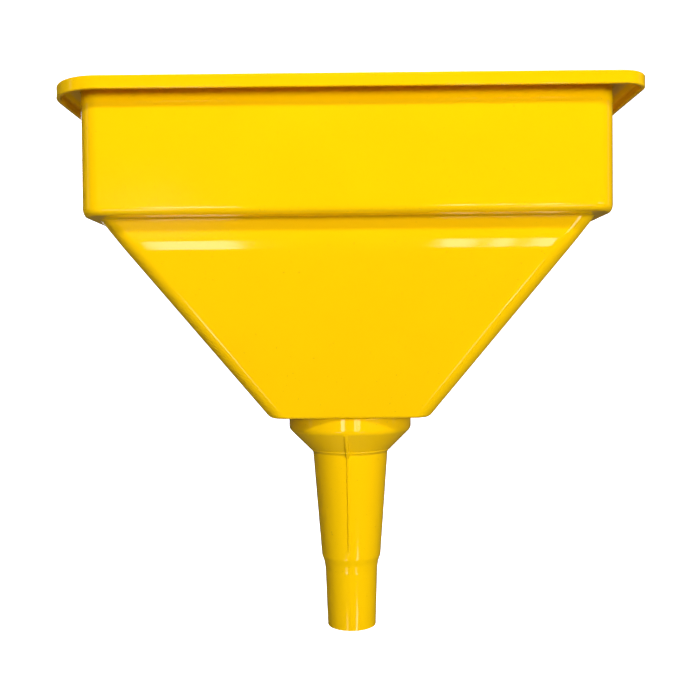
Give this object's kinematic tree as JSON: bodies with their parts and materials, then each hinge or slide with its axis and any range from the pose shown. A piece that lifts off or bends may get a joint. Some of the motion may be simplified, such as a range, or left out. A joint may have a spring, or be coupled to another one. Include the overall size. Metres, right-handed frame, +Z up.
{
  "type": "funnel",
  "caption": "Rectangular rimmed funnel with a V-shaped hopper, a stepped vented spout and a lift-out gauze strainer.",
  "frame": {"origin": "middle of the spout's tip face, the lowest point of the funnel", "axes": "+Z up along the spout's axis to the rim, +X along the rim's long side to its right end seen from the front, -Y to the front"},
  "size_m": [0.275, 0.175, 0.278],
  "materials": {
    "hopper_polyethylene": "glossy moulded yellow polyethylene",
    "spout_polyethylene": "glossy moulded yellow polyethylene",
    "strainer_sheet": "pressed brass sheet",
    "strainer_gauze": "plain woven brass wire",
    "loop_wire": "drawn brass wire"
  },
  "bodies": {
    "funnel": {"hopper": "hopper_polyethylene", "spout": "spout_polyethylene"},
    "strainer": {"strainer_ring": "strainer_sheet", "strainer_gauze": "strainer_gauze", "loop_lug_left": "strainer_sheet", "loop_lug_right": "strainer_sheet"},
    "loop": {"strainer_loop": "loop_wire"}
  },
  "joints": [
    {"name": "strainer_lift", "type": "slide", "parent": "funnel", "child": "strainer", "axis": [0, 0, 1], "range_m": [0, 0.185]},
    {"name": "loop_fold", "type": "hinge", "parent": "strainer", "child": "loop", "pos_m": [0, 0, 0.116], "axis": [1, 0, 0], "range_deg": [0, 173]}
  ]
}
